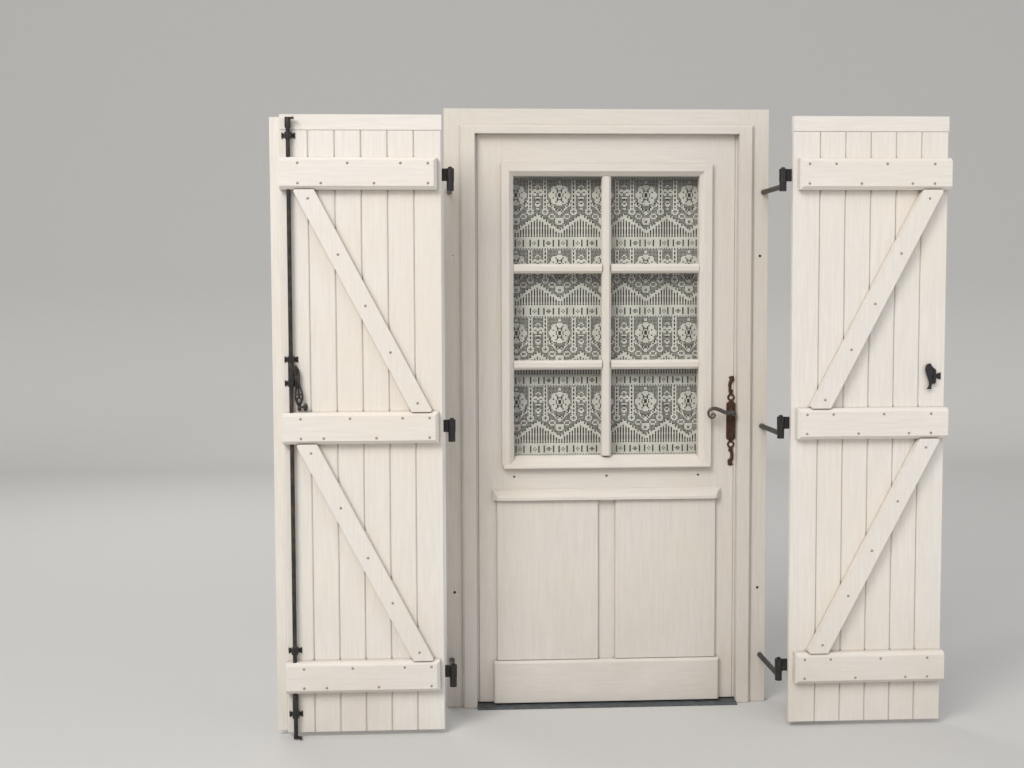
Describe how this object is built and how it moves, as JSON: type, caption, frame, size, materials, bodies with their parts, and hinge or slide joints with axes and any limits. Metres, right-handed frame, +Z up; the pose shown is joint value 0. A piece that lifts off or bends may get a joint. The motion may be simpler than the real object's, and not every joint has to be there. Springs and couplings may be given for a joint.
{
  "type": "half-glazed entrance door with board shutters",
  "caption": "Half-glazed wooden entrance door in its frame, with a lace curtain behind the glazing and a pair of ledged and braced board shutters on wall-standing pintles.",
  "frame": {"origin": "middle of the threshold's underside, in the plane of the frame's street face", "axes": "+X to the right along the wall as seen from the street, +Y into the house, +Z up"},
  "size_m": [2.272, 0.456, 2.138],
  "materials": {
    "door_paint": "matt paint over softwood",
    "shutter_paint": "matt paint over softwood",
    "black_iron": "satin black paint over forged iron",
    "weathered_nails": "weathered steel",
    "steel": "satin",
    "rusted_plate": "rusted",
    "pewter_lever": "satin",
    "clear_glass": "clear",
    "cotton_lace": "knitted lace",
    "painted_threshold": "satin"
  },
  "bodies": {
    "frame": {"frame_left_jamb": "door_paint", "frame_right_jamb": "door_paint", "frame_head": "door_paint", "threshold": "painted_threshold", "strike_plate": "steel", "frame_hinges": "steel", "hinge_pins": "steel", "left_pintles": "black_iron", "right_pintles": "black_iron"},
    "door_leaf": {"bottom_rail": "door_paint", "casing_head": "door_paint", "casing_left": "door_paint", "casing_right": "door_paint", "cross_bars": "door_paint", "curtain_rods": "steel", "drip_moulding": "door_paint", "glass_panes": "clear_glass", "glazing_beads": "door_paint", "glazing_sill": "door_paint", "hinge_stile": "door_paint", "inside_plate": "rusted_plate", "lace_curtain": "cotton_lace", "leaf_hinges": "steel", "left_panel": "door_paint", "lock_case": "steel", "lock_rail": "door_paint", "lock_stile": "door_paint", "lower_muntin": "door_paint", "mullion": "door_paint", "outside_plate": "rusted_plate", "plinth_board": "door_paint", "right_panel": "door_paint", "top_rail": "door_paint"},
    "lever_set": {"outside_lever": "pewter_lever", "inside_lever": "pewter_lever", "spindle": "steel"},
    "latch": {"latch_bolt": "steel"},
    "deadbolt": {"deadbolt": "steel"},
    "left_shutter": {"left_boards": "shutter_paint", "left_braces": "shutter_paint", "left_header": "shutter_paint", "left_ledges": "shutter_paint", "left_nails": "weathered_nails", "left_strap_screws": "black_iron", "left_straps": "black_iron", "cover_batten": "shutter_paint", "rod_guides": "black_iron"},
    "espagnolette": {"espagnolette_rod": "black_iron"},
    "shutter_handle": {"espagnolette_handle": "black_iron"},
    "right_shutter": {"right_boards": "shutter_paint", "right_braces": "shutter_paint", "right_header": "shutter_paint", "right_ledges": "shutter_paint", "right_nails": "weathered_nails", "right_strap_screws": "black_iron", "right_straps": "black_iron", "catch_bracket": "black_iron"},
    "catch": {"handle_catch": "black_iron"}
  },
  "joints": [
    {"name": "leaf_swing", "type": "hinge", "parent": "frame", "child": "door_leaf", "pos_m": [-0.4835, 0.082, 1.04], "axis": [0, 0, 1], "range_deg": [0, 105]},
    {"name": "lever_turn", "type": "hinge", "parent": "door_leaf", "child": "lever_set", "pos_m": [0.451, 0.053, 1.058], "axis": [0, 1, 0], "range_deg": [-35, 0], "stiffness_Nm_per_rad": 1.2},
    {"name": "latch_slide", "type": "slide", "parent": "door_leaf", "child": "latch", "axis": [1, 0, 0], "range_m": [-0.0112, 0]},
    {"name": "deadbolt_slide", "type": "slide", "parent": "door_leaf", "child": "deadbolt", "axis": [1, 0, 0], "range_m": [0, 0.018]},
    {"name": "left_shutter_swing", "type": "hinge", "parent": "frame", "child": "left_shutter", "pos_m": [-0.56, -0.262, 1.047], "axis": [0, 0, 1], "range_deg": [0, 180]},
    {"name": "right_shutter_swing", "type": "hinge", "parent": "frame", "child": "right_shutter", "pos_m": [0.56, -0.262, 1.047], "axis": [0, 0, 1], "range_deg": [-180, 0]},
    {"name": "rod_turn", "type": "hinge", "parent": "left_shutter", "child": "espagnolette", "pos_m": [-1.089, -0.3095, 1.2], "axis": [0, 0, 1], "range_deg": [-180, 0]},
    {"name": "handle_lift", "type": "hinge", "parent": "espagnolette", "child": "shutter_handle", "pos_m": [-1.075, -0.3095, 1.2476], "axis": [0, 1, 0], "range_deg": [-110, 0]},
    {"name": "catch_fold", "type": "hinge", "parent": "right_shutter", "child": "catch", "pos_m": [1.076, -0.3025, 1.205], "axis": [0, 0, 1], "range_deg": [0, 90]}
  ],
  "couplings": [
    {"joint": "latch_slide", "follows": "lever_turn", "m_per_rad": 0.018007}
  ]
}
